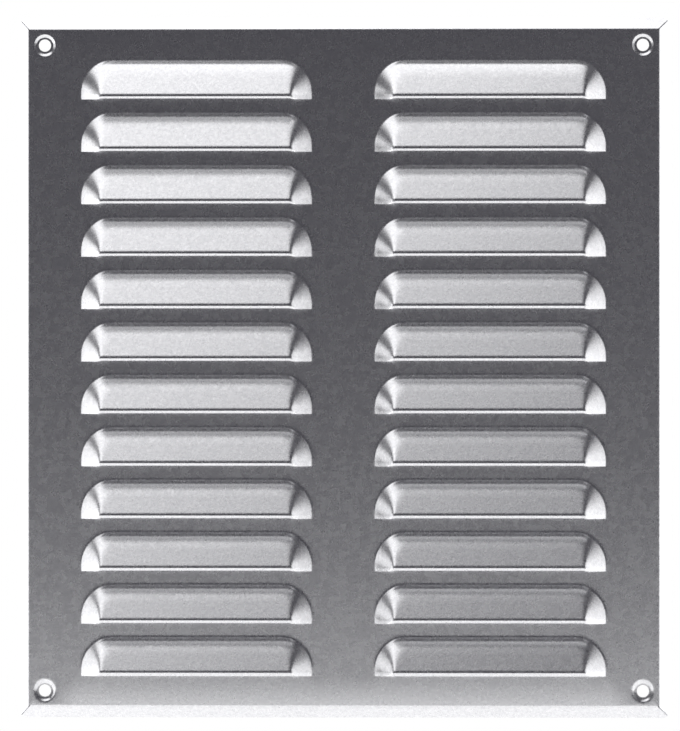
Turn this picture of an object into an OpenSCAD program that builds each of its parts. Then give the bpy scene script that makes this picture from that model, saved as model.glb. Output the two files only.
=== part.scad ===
// Ventilation grille pressed from one sheet of aluminium: rows of hooded louvres
// that open downwards, an edge folded back towards the wall all round, and a
// dished screw seat near each corner.
// The front faces -Y and +Z is up. The origin is the middle of the screw pattern,
// on the back face of the plate.

/* [Sheet] */
// Thickness of the sheet
sheet_t = 1; // [0.8:0.1:1.2]
// Overall width, across the folded edges
overall_w = 243; // [160:1:400]
// Overall height, across the folded edges
overall_h = 260; // [120:1:500]

/* [Folded edge] */
// How far the fold reaches beyond the flat face, seen from the front
fold_run = 4; // [3:0.5:8]
// Angle of the fold behind the face
fold_angle = 45; // [35:1:60]
// Outside radius of the bend along the fold
fold_r = 1.5; // [1.4:0.1:2.5]
// Radius of the rounded tips at the corners
corner_r = 2.5; // [1:0.5:4]
// Width of the open mitre at each corner
mitre_gap = 0.4; // [0.2:0.1:1]

/* [Louvres] */
// Number of columns
columns = 2; // [1:1:4]
// Distance from one louvre to the next one down
row_pitch = 19.5; // [18:0.5:30]
// Height of a louvre, from its lip to the top of its panel
louvre_h = 14.8; // [12:0.1:16]
// How far the lip stands out from the face
louvre_out = 7; // [5:0.5:8]
// Slope of the end walls against the face
end_angle = 40; // [35:1:55]
// Radius of the upper corners, seen from the front
end_r = 12.3; // [10:0.1:13]
// Inside radius of the bend where a louvre leaves the face
root_r = 1.5; // [1:0.1:2]
// Outside radius of the lip that is turned in along the lower edge
lip_r = 1.4; // [1.3:0.1:2]
// Angle that the lip is turned, below square to the face
lip_turn = 70; // [50:5:80]
// Flat left between the columns
column_gap = 23; // [15:1:40]
// Flat left beside the columns
side_margin = 19.5; // [14:0.5:40]
// Least flat left above and below the rows
end_margin = 10; // [6:0.5:30]

/* [Screw seats] */
// Distance of the screw holes in from the outer edges
hole_inset = 10; // [9:0.5:11]
// Diameter of the screw holes
hole_d = 4.6; // [3.5:0.1:5]
// Diameter of the flat ring that a screw head bears on
seat_d = 6.2; // [5.6:0.1:6.5]
// Depth that a seat is pressed into the face
seat_depth = 0.7; // [0.4:0.1:0.9]
// Slope of the side of a seat against the face
seat_angle = 35; // [30:1:45]

/* [Hidden] */
$fn = 64;
// How far a cutting form runs clear of what it cuts
clear = 1;
// Number of flats that make up a bend
bend_steps = 4;

face_w = overall_w - 2 * fold_run;
face_h = overall_h - 2 * fold_run;
fold_depth = fold_run * tan(fold_angle);
hole_dx = overall_w - 2 * hole_inset;
hole_dz = overall_h - 2 * hole_inset;

rows = floor((face_h - 2 * end_margin - louvre_h) / row_pitch) + 1;
field_h = (rows - 1) * row_pitch + louvre_h;
louvre_w = (face_w - 2 * side_margin - (columns - 1) * column_gap) / columns;
column_pitch = louvre_w + column_gap;

// The panel of a louvre slopes out from the face until it touches the lip's circle.
// Side profiles are drawn as [distance out from the face, height above the lip].
lip_centre = [louvre_out - lip_r, lip_r];
panel_span = [lip_centre.x, louvre_h - lip_centre.y];
panel_angle = atan2(panel_span.x, panel_span.y) + asin(lip_r / norm(panel_span));
panel_root = [root_r, louvre_h + root_r * tan(panel_angle / 2)];
end_root = [end_r + root_r * tan(end_angle / 2), root_r];

// Direction of an angle, and the points on an arc from one angle to another
function dir(angle) = [cos(angle), sin(angle)];
function arc(centre, r, from, to) =
    [for (i = [0:bend_steps]) centre + r * dir(from + (to - from) * i / bend_steps)];

// In the modules below, back is how far a form lies behind the outer skin:
// 0 gives the outer skin, and sheet_t the inner one that hollows it out.

// Side profile of the hood: bend at the top, sloping panel and turned lip
module panel_profile(back, floor_out) {
    lip_end = back > 0
        ? [lip_centre + (lip_r + clear) * dir(-lip_turn), [lip_centre.x, -clear], [0, -clear],
           [0, lip_r], [floor_out, lip_r]]
        : [[lip_centre.x, 0], [floor_out, 0]];
    polygon(concat(
        [[floor_out, panel_root.y]],
        arc(panel_root, root_r + back, 180, 180 + panel_angle),
        arc(lip_centre, lip_r - back, panel_angle, -lip_turn),
        lip_end));
}

// Profile of an end wall as [distance from the corner's centre, distance out]
module end_profile(back, floor_out) {
    top_out = louvre_out + clear;
    wall_top = end_r - (top_out + back / cos(end_angle)) / tan(end_angle);
    polygon(concat(
        [[0, floor_out], [end_root.x, floor_out]],
        arc(end_root, root_r + back, 270, 270 - end_angle),
        [[wall_top, top_out], [0, top_out]]));
}

// Upper corner of an end and the straight wall below it, about the corner's centre
module end_form(back, floor_out, drop) {
    rotate([90, 0, 0])
        rotate_extrude(angle = 90)
            end_profile(back, floor_out);
    rotate([180, 0, 0])
        linear_extrude(drop)
            end_profile(back, floor_out);
}

// One hood, with the middle of its lower edge at the origin
module louvre_form(back) {
    floor_out = back > 0 ? -sheet_t - clear : -sheet_t / 2;
    mid_w = louvre_w - 2 * end_r;
    corner_z = louvre_h - end_r;
    intersection() {
        rotate([90, 0, -90])
            linear_extrude(louvre_w + 4 * root_r, center = true)
                panel_profile(back, floor_out);
        union() {
            translate([-mid_w / 2, -louvre_out - clear, -clear])
                cube([mid_w, louvre_out + clear - floor_out, panel_root.y + 2 * clear]);
            for (side = [0, 1])
                mirror([side, 0, 0])
                    translate([mid_w / 2, 0, corner_z])
                        end_form(back, floor_out, corner_z + clear);
        }
    }
}

// Section across the face and its two folds, as [distance from the middle, distance out]
module fold_profile(size, back) {
    bend = [size / 2 - fold_r * tan(fold_angle / 2), -fold_r];
    edge = [size / 2 + fold_run, -fold_depth];
    skin_dir = dir(90 - fold_angle);
    edge_end = back > 0
        ? [edge - back * skin_dir + fold_run * dir(-fold_angle)]
        : [edge, edge - 2 * sheet_t * skin_dir];
    half = concat(arc(bend, fold_r - back, 90, 90 - fold_angle), edge_end);
    polygon(concat([for (i = [len(half) - 1:-1:0]) [-half[i].x, half[i].y]], half));
}

// Face and folds as a solid dish, where the folds across and down meet in mitres
module dish_form(back) {
    intersection() {
        rotate([180, 0, 0])
            linear_extrude(2 * overall_h, center = true)
                fold_profile(face_w, back);
        rotate([180, -90, 0])
            linear_extrude(2 * overall_w, center = true)
                fold_profile(face_h, back);
    }
}

// What is cut from each corner: the open mitre, and the sharp tip outside its round
module corner_cut() {
    depth = fold_depth + 2 * sheet_t + 2 * clear;
    mitre_start = fold_run + fold_r * tan(fold_angle / 2);
    for (sx = [0, 1], sz = [0, 1])
        mirror([sx, 0, 0])
            mirror([0, 0, sz])
                translate([overall_w / 2, -clear, overall_h / 2]) {
                    translate([-mitre_start, 0, -mitre_start])
                        rotate([0, -45, 0])
                            translate([0, 0, -mitre_gap / 2])
                                cube([2 * mitre_start, depth, mitre_gap]);
                    difference() {
                        translate([-corner_r, 0, -corner_r])
                            cube([corner_r + clear, depth, corner_r + clear]);
                        translate([-corner_r, -clear, -corner_r])
                            rotate([-90, 0, 0])
                                cylinder(h = depth + 2 * clear, r = corner_r);
                    }
                }
}

// Pressed seat as a tapered plug that narrows towards the wall
module seat_form(back, top_out) {
    h = seat_depth + back + top_out;
    ring_r = seat_d / 2 + back * tan(seat_angle / 2);
    translate([0, seat_depth + back, 0])
        rotate([90, 0, 0])
            cylinder(h = h, r1 = ring_r, r2 = ring_r + h / tan(seat_angle));
}

module at_screws() {
    for (x = [-hole_dx / 2, hole_dx / 2], z = [-hole_dz / 2, hole_dz / 2])
        translate([x, 0, z])
            children();
}

module at_louvres() {
    for (column = [0:columns - 1], row = [0:rows - 1])
        translate([(column - (columns - 1) / 2) * column_pitch, 0, row * row_pitch - field_h / 2])
            children();
}

module louvre_plate() {
    color("silver")
    translate([0, -sheet_t, 0])
    difference() {
        union() {
            difference() {
                dish_form(0);
                dish_form(sheet_t);
                corner_cut();
            }
            at_louvres() louvre_form(0);
            at_screws() seat_form(sheet_t, -sheet_t / 2);
        }
        at_louvres() louvre_form(sheet_t);
        at_screws() {
            seat_form(0, clear);
            rotate([-90, 0, 0])
                translate([0, 0, -clear])
                    cylinder(h = seat_depth + sheet_t + 2 * clear, d = hole_d);
        }
    }
}

louvre_plate();
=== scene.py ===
import math

import bmesh
import bpy
from mathutils import Matrix


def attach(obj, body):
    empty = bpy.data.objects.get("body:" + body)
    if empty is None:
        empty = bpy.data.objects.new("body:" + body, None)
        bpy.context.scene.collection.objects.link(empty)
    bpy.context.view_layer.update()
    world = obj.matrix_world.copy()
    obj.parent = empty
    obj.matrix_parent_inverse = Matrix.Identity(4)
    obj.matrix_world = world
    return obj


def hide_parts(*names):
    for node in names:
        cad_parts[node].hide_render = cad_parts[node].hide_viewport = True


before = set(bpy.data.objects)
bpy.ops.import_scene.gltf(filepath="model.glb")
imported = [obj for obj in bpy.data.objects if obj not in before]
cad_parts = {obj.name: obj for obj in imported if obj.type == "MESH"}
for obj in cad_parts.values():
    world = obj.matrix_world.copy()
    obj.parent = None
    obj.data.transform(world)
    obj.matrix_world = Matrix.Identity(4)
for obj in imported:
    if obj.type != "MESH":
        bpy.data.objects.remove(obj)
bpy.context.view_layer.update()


# Camera: far off with a long lens and a few degrees to the right of square on, so
# the end walls that face right look wider, and nothing converges.
camera_distance = 8.0
sensor_width = 36
camera_side = math.radians(4.5)
seen_height = 0.2718
camera_data = bpy.data.cameras.new("camera")
camera_data.lens = sensor_width * camera_distance / seen_height
camera_data.shift_x = -0.0050
camera_data.shift_y = 0.0034
camera = bpy.data.objects.new("camera", camera_data)
camera.location = (
    camera_distance * math.sin(camera_side),
    -camera_distance * math.cos(camera_side),
    0,
)
camera.rotation_euler = (math.radians(90), 0, camera_side)
bpy.context.scene.collection.objects.link(camera)
bpy.context.scene.camera = camera
bpy.context.scene.view_settings.view_transform = "Standard"


# Grille: one sheet of aluminium, 1 mm thick, pressed and folded. Each hood is lanced
# along its lower edge and pressed out, so the sheet bends out of the face over the
# top and round both ends, and the free edge is rolled in as a lip.
mm = 0.001
sheet_t = 1.0
grille = bmesh.new()

# Hood: a panel that slopes out of the face, with an end wall round each upper corner.
# It is drawn in millimetres from the middle of its lower edge, as a half that is
# mirrored, and copied to two columns of twelve.
hood_w = 86.5
hood_h = 14.8
hood_out = 7.0
corner_r = 12.3
end_slope = math.radians(40)
root_r = 1.5
lip_r = 1.4
lip_turn = math.radians(70)
corner_x = hood_w / 2 - corner_r
corner_z = hood_h - corner_r
lip_out = hood_out - lip_r
panel_slope = math.atan2(lip_out, hood_h - lip_r) + math.asin(lip_r / math.hypot(lip_out, hood_h - lip_r))
panel_root_z = hood_h + root_r * math.tan(panel_slope / 2)
end_root = corner_r + root_r * math.tan(end_slope / 2)
wall_foot = end_root - root_r * math.sin(end_slope)


def panel_out(height):
    """How far the panel and its rolled lip stand out, by the height above the lower edge."""
    lip_top = lip_r + lip_r * math.sin(panel_slope)
    root_low = panel_root_z - root_r * math.sin(panel_slope)
    if height < lip_top:
        return lip_out + math.sqrt(lip_r ** 2 - (lip_r - height) ** 2)
    if height < root_low:
        return root_r * (1 - math.cos(panel_slope)) + (root_low - height) * math.tan(panel_slope)
    if height < panel_root_z:
        return root_r - math.sqrt(root_r ** 2 - (panel_root_z - height) ** 2)
    return 0.0


foot_out = root_r * (1 - math.cos(end_slope))
ridge_x = 4.6


def ridge_reach(turn):
    """Distance from the corner's centre to the ridge, which runs straight up to the round of the corner."""
    return min(ridge_x / max(math.cos(turn), 0.001), wall_foot - 2)


def wall_grade(turn, height):
    """Grade of the end wall, such that it meets the panel at the ridge."""
    turn = min(turn, math.radians(50))
    ridge_z = height if turn == 0 else corner_z + ridge_x * math.tan(turn)
    return (panel_out(max(ridge_z, lip_r)) - foot_out) / (wall_foot - ridge_x / math.cos(turn))


def wall_out(reach, turn, height):
    """How far an end wall stands out, by the distance from the centre of its upper corner."""
    if reach < wall_foot:
        return foot_out + (wall_foot - reach) * wall_grade(turn, height)
    if reach < end_root:
        return root_r - math.sqrt(root_r ** 2 - (end_root - reach) ** 2)
    return 0.0


def ring_reach(mark, turn):
    """Where a ring lies: up to 1 inside the ridge, to 2 on the wall, to 3 on the bend at its foot."""
    ridge = ridge_reach(turn)
    if mark <= 1:
        return mark * ridge
    if mark <= 2:
        return ridge + (mark - 1) * (wall_foot - ridge)
    if mark <= 3:
        return end_root - root_r * math.sin(end_slope * (3 - mark))
    return end_root + (mark - 3) * 0.8


hood = bmesh.new()
marks = [0, 0.3, 0.55, 0.72, 0.84, 0.92, 0.97, 1.02, 1.07, 1.14, 1.24, 1.38, 1.56, 1.78, 2, 2.25, 2.5, 2.75, 3, 4]
spoke = [hood.verts.new((mark, 0, 0)) for mark in marks]
spoke_edges = [hood.edges.new(pair) for pair in zip(spoke, spoke[1:])]
bmesh.ops.spin(
    hood, geom=spoke + spoke_edges, cent=(0, 0, 0), axis=(0, -1, 0), angle=math.pi / 2, steps=16
)
lip_steps = 7
lip_sweep = panel_slope + lip_turn
rows = [
    lip_r + lip_r * math.sin(panel_slope - lip_sweep * step / lip_steps) - corner_z
    for step in range(lip_steps + 1)
]
row_edges = spoke_edges
level = 0
for row in rows:
    grown = bmesh.ops.extrude_edge_only(hood, edges=row_edges)["geom"]
    new_verts = [part for part in grown if isinstance(part, bmesh.types.BMVert)]
    bmesh.ops.translate(hood, verts=new_verts, vec=(0, 0, row - level))
    row_edges = [
        part for part in grown
        if isinstance(part, bmesh.types.BMEdge) and all(vert in new_verts for vert in part.verts)
    ]
    level = row
middle_edges = [edge for edge in hood.edges if all(abs(vert.co.x) < 0.0001 for vert in edge.verts)]
for step in (-4, -10, 14 - corner_x):
    grown = bmesh.ops.extrude_edge_only(hood, edges=middle_edges)["geom"]
    new_verts = [part for part in grown if isinstance(part, bmesh.types.BMVert)]
    bmesh.ops.translate(hood, verts=new_verts, vec=(step, 0, 0))
    middle_edges = [
        part for part in grown
        if isinstance(part, bmesh.types.BMEdge) and all(vert in new_verts for vert in part.verts)
    ]
bmesh.ops.remove_doubles(hood, verts=hood.verts, dist=0.0001)
for vert in hood.verts:
    across = vert.co.x
    up = vert.co.z
    if up <= 0.0001:
        height = corner_z + up
        reach = ring_reach(across, 0) if across > 0 else across
        x = corner_x + reach
        wall = wall_out(reach, 0, height)
    elif across < 0.0001:
        reach = ring_reach(up, math.pi / 2)
        height = corner_z + reach
        x = corner_x + across
        wall = wall_out(reach, math.pi / 2, height)
    else:
        turn = math.atan2(up, across)
        reach = ring_reach(math.hypot(across, up), turn)
        height = corner_z + reach * math.sin(turn)
        x = corner_x + reach * math.cos(turn)
        wall = wall_out(reach, turn, height)
    panel = panel_out(height)
    softness = min(0.62 + 0.12 * max(0, height - 6), 1.6 * min(panel, wall))
    out = min(panel, wall)
    if abs(panel - wall) < softness:
        out -= (softness - abs(panel - wall)) ** 2 / (4 * softness)
    vert.co = (x, -sheet_t - out, height)
bmesh.ops.mirror(
    hood, geom=hood.verts[:] + hood.edges[:] + hood.faces[:], matrix=Matrix(), merge_dist=0.001, axis="X"
)
hood_mesh = bpy.data.meshes.new("hood")
hood.to_mesh(hood_mesh)
slot_end = corner_x + end_root
lip_end = lip_r - lip_r * math.sin(lip_turn)
hood.free()

row_pitch = 19.5
column_x = 54.75
first_row = -114.65
for column in (-1, 1):
    for row in range(12):
        before = len(grille.verts)
        grille.from_mesh(hood_mesh)
        grille.verts.ensure_lookup_table()
        pressed = grille.verts[before:]
        bmesh.ops.translate(grille, verts=pressed, vec=(column * column_x, 0, first_row + row * row_pitch))
        ends = [
            vert for vert in pressed
            if abs(abs(vert.co.x - column * column_x) - slot_end) < 0.001
            and abs(vert.co.z - first_row - row * row_pitch - lip_end) < 0.001
        ]
        ends.sort(key=lambda vert: vert.co.x)
        chain = [ends[0]]
        for inset, height in ((1.2, 0.7), (2.6, 1.25), (4.2, 1.4)):
            chain.append(grille.verts.new((
                column * column_x - slot_end + inset, -sheet_t, first_row + row * row_pitch + height
            )))
        for inset, height in ((4.2, 1.4), (2.6, 1.25), (1.2, 0.7)):
            chain.append(grille.verts.new((
                column * column_x + slot_end - inset, -sheet_t, first_row + row * row_pitch + height
            )))
        chain.append(ends[1])
        for pair in zip(chain, chain[1:]):
            grille.edges.new(pair)

# Screw seats: four rings pressed into the face for countersunk heads, each round its
# hole. The section is given as distance from the middle and depth below the face.
seat = bmesh.new()
seat_section = [
    (2.3, 0.7), (2.95, 0.7), (3.08, 0.67), (3.2, 0.61), (3.9, 0.12), (4.0, 0.06), (4.12, 0.02), (4.28, 0), (4.8, 0)
]
section_verts = [seat.verts.new((reach, depth - sheet_t, 0)) for reach, depth in seat_section]
section_edges = [seat.edges.new(pair) for pair in zip(section_verts, section_verts[1:])]
bmesh.ops.spin(
    seat, geom=section_verts + section_edges, cent=(0, 0, 0), axis=(0, 1, 0),
    angle=2 * math.pi, steps=40, use_merge=True
)
seat_mesh = bpy.data.meshes.new("seat")
seat.to_mesh(seat_mesh)
seat.free()
for x in (-111.5, 111.5):
    for z in (-120, 120):
        before = len(grille.verts)
        grille.from_mesh(seat_mesh)
        grille.verts.ensure_lookup_table()
        bmesh.ops.translate(grille, verts=grille.verts[before:], vec=(x, 0, z))

# Folded edge: each side of the sheet is turned back 45 degrees towards the wall, with
# an open mitre at the corners and rounded tips.
fold_r = 1.5
fold_angle = math.radians(45)
fold_reach = 4 + fold_r * math.tan(fold_angle / 2)
tip_r = 2.5
mitre_gap = 0.4
bend_reach = fold_r * math.sin(fold_angle)
half_w = 116.878
half_h = 125.378
for half_length, half_size, turn in (
    (half_w, half_h, 0), (half_h, half_w, 90), (half_w, half_h, 180), (half_h, half_w, 270)
):
    fold = bmesh.new()
    bmesh.ops.create_grid(fold, x_segments=28, y_segments=10, size=1)
    for vert in fold.verts:
        column = round((vert.co.x + 1) * 14)
        row = round((vert.co.y + 1) * 5)
        place = abs(column - 14)
        side = 1 if column > 14 else -1
        if place <= 9:
            foot = half_length * place / 9.4
            tip = foot
            tip_reach = fold_reach
        else:
            share = (place - 10) / 4
            foot = half_length - 1.6 * (1 - share)
            swing = math.radians(90 - 45 * share)
            tip = half_length + fold_reach - tip_r + tip_r * math.cos(swing)
            tip_reach = fold_reach - tip_r + tip_r * math.sin(swing)
        if row <= 5:
            run = fold_r * math.sin(fold_angle * row / 5)
        else:
            run = bend_reach + (tip_reach - bend_reach) * (row - 5) / 5
        along = foot + (tip - foot) * run / tip_reach
        if place == 14:
            along = half_length + run - 0.707 * mitre_gap * min(1, run / 0.6)
        if run <= bend_reach + 0.0001:
            depth = fold_r - math.sqrt(fold_r ** 2 - run ** 2)
        else:
            depth = fold_r * (1 - math.cos(fold_angle)) + (run - bend_reach) * math.tan(fold_angle)
        vert.co = (side * along, depth - sheet_t, half_size + run)
    bmesh.ops.rotate(fold, verts=fold.verts, cent=(0, 0, 0), matrix=Matrix.Rotation(math.radians(turn), 3, "Y"))
    fold_mesh = bpy.data.meshes.new("fold")
    fold.to_mesh(fold_mesh)
    fold.free()
    grille.from_mesh(fold_mesh)

# Face: the flat of the sheet between the pressings, filled from their edges. The cut
# edges stay sharp, and the sheet then gets its thickness towards the wall.
bmesh.ops.remove_doubles(grille, verts=grille.verts, dist=0.001)
flat_edges = [
    edge for edge in grille.edges
    if len(edge.link_faces) < 2 and all(abs(vert.co.y + sheet_t) < 0.0005 for vert in edge.verts)
]
bmesh.ops.triangle_fill(grille, use_beauty=True, edges=flat_edges, normal=(0, -1, 0))
bmesh.ops.recalc_face_normals(grille, faces=grille.faces)
facing = sum(face.normal.y * face.calc_area() for face in grille.faces)
if facing > 0:
    bmesh.ops.reverse_faces(grille, faces=grille.faces)
for edge in grille.edges:
    edge.smooth = not edge.is_boundary
bmesh.ops.scale(grille, verts=grille.verts, vec=(mm, mm, mm))
grille_mesh = bpy.data.meshes.new("grille")
grille.to_mesh(grille_mesh)
grille.free()
grille_mesh.polygons.foreach_set("use_smooth", [True] * len(grille_mesh.polygons))
grille_piece = bpy.data.objects.new("grille", grille_mesh)
bpy.context.scene.collection.objects.link(grille_piece)
thickness = grille_piece.modifiers.new("thickness", "SOLIDIFY")
thickness.thickness = sheet_t * mm
thickness.offset = -1
thickness.use_even_offset = True
thickness.use_quality_normals = True


# Finish: bare aluminium with a fine satin grain, which shows as small differences in
# tone, in roughness and in the slope of the surface.
class Wire:
    """A socket in a tree of shader nodes; arithmetic on it adds Math nodes."""

    def __init__(self, tree, socket=None):
        self.tree = tree
        self.socket = socket

    def add(self, kind, settings, values, output=0):
        node = self.tree.nodes.new(kind)
        for name, value in settings.items():
            setattr(node, name, value)
        for key, value in values.items():
            if isinstance(value, Wire):
                self.tree.links.new(value.socket, node.inputs[key])
            else:
                node.inputs[key].default_value = value
        return Wire(self.tree, node.outputs[output])

    def math(self, operation, first, second=0.0):
        return self.add("ShaderNodeMath", {"operation": operation}, {0: first, 1: second})

    def __add__(self, other):
        return self.math("ADD", self, other)

    def __radd__(self, other):
        return self.math("ADD", other, self)

    def __sub__(self, other):
        return self.math("SUBTRACT", self, other)

    def __rsub__(self, other):
        return self.math("SUBTRACT", other, self)

    def __mul__(self, other):
        return self.math("MULTIPLY", self, other)

    def __rmul__(self, other):
        return self.math("MULTIPLY", other, self)


metal = bpy.data.materials.new("satin_aluminium")
metal.use_nodes = True
tree = metal.node_tree
shader = tree.nodes["Principled BSDF"]
wire = Wire(tree)
place = wire.add("ShaderNodeTexCoord", {}, {}, "Object")
grain = wire.add("ShaderNodeTexNoise", {}, {"Vector": place, "Scale": 900.0, "Detail": 3.0, "Roughness": 0.6})
blotch = wire.add("ShaderNodeTexNoise", {}, {"Vector": place, "Scale": 420.0, "Detail": 2.0})
tone = wire.add(
    "ShaderNodeMix", {"data_type": "RGBA"},
    {0: (grain - 0.5) * 1.6 + 0.5, 6: (0.60, 0.60, 0.62, 1), 7: (0.78, 0.78, 0.79, 1)}, 2
)
tree.links.new(tone.socket, shader.inputs["Base Color"])
rough = 0.27 + (blotch - 0.5) * 0.08
tree.links.new(rough.socket, shader.inputs["Roughness"])
bump = wire.add("ShaderNodeBump", {}, {"Height": grain, "Strength": 0.25, "Distance": 0.00005})
tree.links.new(bump.socket, shader.inputs["Normal"])
shader.inputs["Metallic"].default_value = 1.0
grille_mesh.materials.append(metal)
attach(grille_piece, "root")
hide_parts("louvre_plate")


# Floor: a sheet of pale paper just below the grille, which the metal reflects along
# its lower rows. It glows only for the camera and in reflections.
floor_bm = bmesh.new()
bmesh.ops.create_grid(floor_bm, x_segments=1, y_segments=1, size=1)
bmesh.ops.scale(floor_bm, verts=floor_bm.verts, vec=(1.4, 1.1, 1))
bmesh.ops.translate(floor_bm, verts=floor_bm.verts, vec=(0, 0.4, -0.17))
floor_mesh = bpy.data.meshes.new("floor")
floor_bm.to_mesh(floor_mesh)
floor_bm.free()
floor = bpy.data.objects.new("floor", floor_mesh)
bpy.context.scene.collection.objects.link(floor)
paper = bpy.data.materials.new("floor_paper")
paper.use_nodes = True
tree = paper.node_tree
shader = tree.nodes["Principled BSDF"]
shader.inputs["Base Color"].default_value = (0.8, 0.8, 0.8, 1)
shader.inputs["Roughness"].default_value = 0.9
shader.inputs["Emission Color"].default_value = (1, 1, 1, 1)
rays = tree.nodes.new("ShaderNodeLightPath")
wire = Wire(tree)
glow = Wire(tree, rays.outputs["Is Camera Ray"]) * 0.8 + Wire(tree, rays.outputs["Is Glossy Ray"]) * 0.6
tree.links.new(glow.socket, shader.inputs["Emission Strength"])
floor_mesh.materials.append(paper)


# World and lamps: white behind the grille and to the camera, dark in front of it, and
# three softboxes, above to the left and at both sides.
world = bpy.data.worlds.new("studio")
bpy.context.scene.world = world
world.use_nodes = True
tree = world.node_tree
sky = Wire(tree)
background = tree.nodes["Background"]
direction = sky.add("ShaderNodeTexCoord", {}, {}, "Generated")
axes = tree.nodes.new("ShaderNodeSeparateXYZ")
tree.links.new(direction.socket, axes.inputs[0])
ahead = Wire(tree, axes.outputs[1])
camera_ray = sky.add("ShaderNodeLightPath", {}, {}, "Is Camera Ray")
behind = sky.add(
    "ShaderNodeMapRange", {"interpolation_type": "SMOOTHSTEP"},
    {"Value": ahead, "From Min": -0.1, "From Max": 0.05}
)
behind = sky.math("MAXIMUM", camera_ray, behind)
color = sky.add(
    "ShaderNodeMix", {"data_type": "RGBA"},
    {0: behind, 6: (0.085, 0.083, 0.095, 1), 7: (1, 1, 1, 1)}, 2
)
tree.links.new(color.socket, background.inputs["Color"])


def softbox(name, width, depth, radiance, place, turn):
    lamp = bpy.data.lights.new(name, "AREA")
    lamp.shape = "RECTANGLE"
    lamp.size = width
    lamp.size_y = depth
    lamp.energy = radiance * math.pi * width * depth
    box = bpy.data.objects.new(name, lamp)
    box.location = place
    box.rotation_euler = [math.radians(angle) for angle in turn]
    box.visible_camera = False
    bpy.context.scene.collection.objects.link(box)


softbox("top", 1.0, 1.0, 1.5, (-0.40, -0.15, 0.8), (0, 0, 30))
softbox("left", 0.45, 0.4, 1.3, (-0.5, 0.0, 0.0), (0, -90, 0))
softbox("right", 0.7, 0.4, 1.3, (0.5, 0.0, 0.15), (0, 90, 0))
